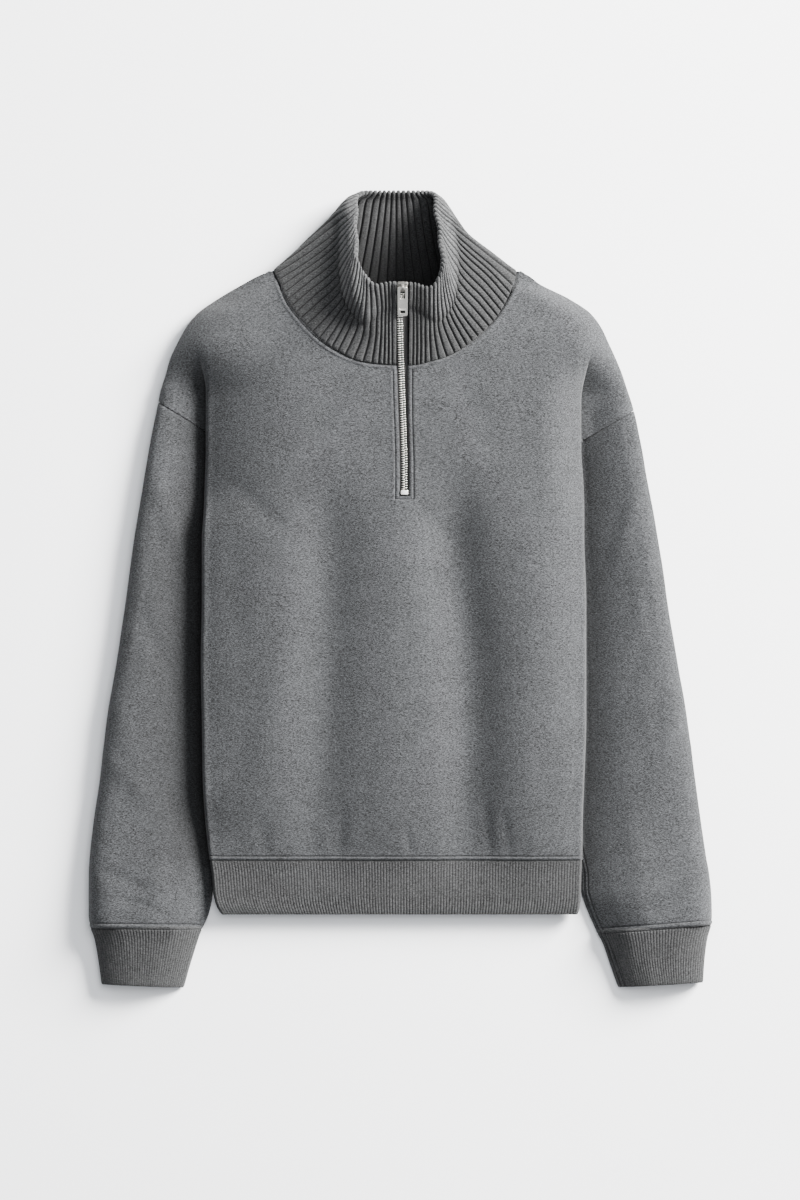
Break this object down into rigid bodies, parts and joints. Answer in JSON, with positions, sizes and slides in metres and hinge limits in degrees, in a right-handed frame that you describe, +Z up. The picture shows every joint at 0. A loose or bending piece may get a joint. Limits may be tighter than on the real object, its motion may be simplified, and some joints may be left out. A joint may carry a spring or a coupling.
{
  "type": "half-zip sweater laid flat",
  "caption": "Long-sleeved fleece pullover with a ribbed funnel collar, short front zip, ribbed hem and cuffs, laid flat on its back with its sides and sleeves folded under.",
  "frame": {"origin": "on the surface the sweater lies on, under the middle of its bounding box", "axes": "+Y from the hem to the collar, +Z up out of the front, +X to the right of the view from above"},
  "size_m": [0.6659, 0.8519, 0.0756],
  "materials": {
    "fleece": "matt grey melange fleece with a short nap",
    "rib": "matt grey melange rib knit",
    "zip_tape": "near-black woven tape",
    "zip_metal": "silver-coloured polished metal"
  },
  "bodies": {
    "garment": {"front_panel": "fleece", "back_panel": "fleece", "sleeve_left": "fleece", "sleeve_right": "fleece", "collar": "rib", "hem_rib": "rib", "cuff_left": "rib", "cuff_right": "rib", "zip_tape": "zip_tape", "zip_chain": "zip_metal", "zip_stop": "zip_metal", "zip_slider": "zip_metal"},
    "pull_tab": {"pull_tab": "zip_metal"}
  },
  "joints": [
    {"name": "tab_hinge", "type": "hinge", "parent": "garment", "child": "pull_tab", "pos_m": [0.003, 0.31904, 0.07177], "axis": [-1, 0, 0], "range_deg": [0, 150]}
  ]
}
